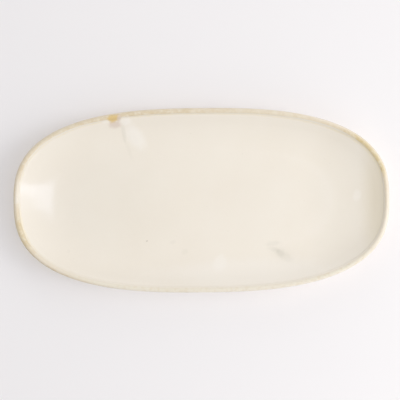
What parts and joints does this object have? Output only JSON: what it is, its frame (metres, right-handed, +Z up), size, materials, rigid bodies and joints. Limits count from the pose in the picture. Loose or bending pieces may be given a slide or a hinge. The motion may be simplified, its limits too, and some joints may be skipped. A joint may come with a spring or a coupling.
{
  "type": "asparagus plate",
  "caption": "Long oval stoneware serving plate with a shallow well, a softly curved wall, a toasted rounded lip, cream satin glaze and a bare oval foot ring.",
  "frame": {"origin": "centre of the plate on the plane that the foot ring stands on", "axes": "+X along the plate's length, +Y across its width, +Z up out of the well"},
  "size_m": [0.28, 0.1376, 0.0185],
  "materials": {
    "clay": "matt, sandy, unglazed stoneware",
    "glaze": "satin cream glaze",
    "wash": "dry toasted wash"
  },
  "bodies": {
    "root": {"clay_body": "clay", "foot_ring": "clay", "well_glaze": "glaze", "rim_wash": "wash", "wall_glaze": "glaze", "base_glaze": "glaze"}
  },
  "joints": []
}
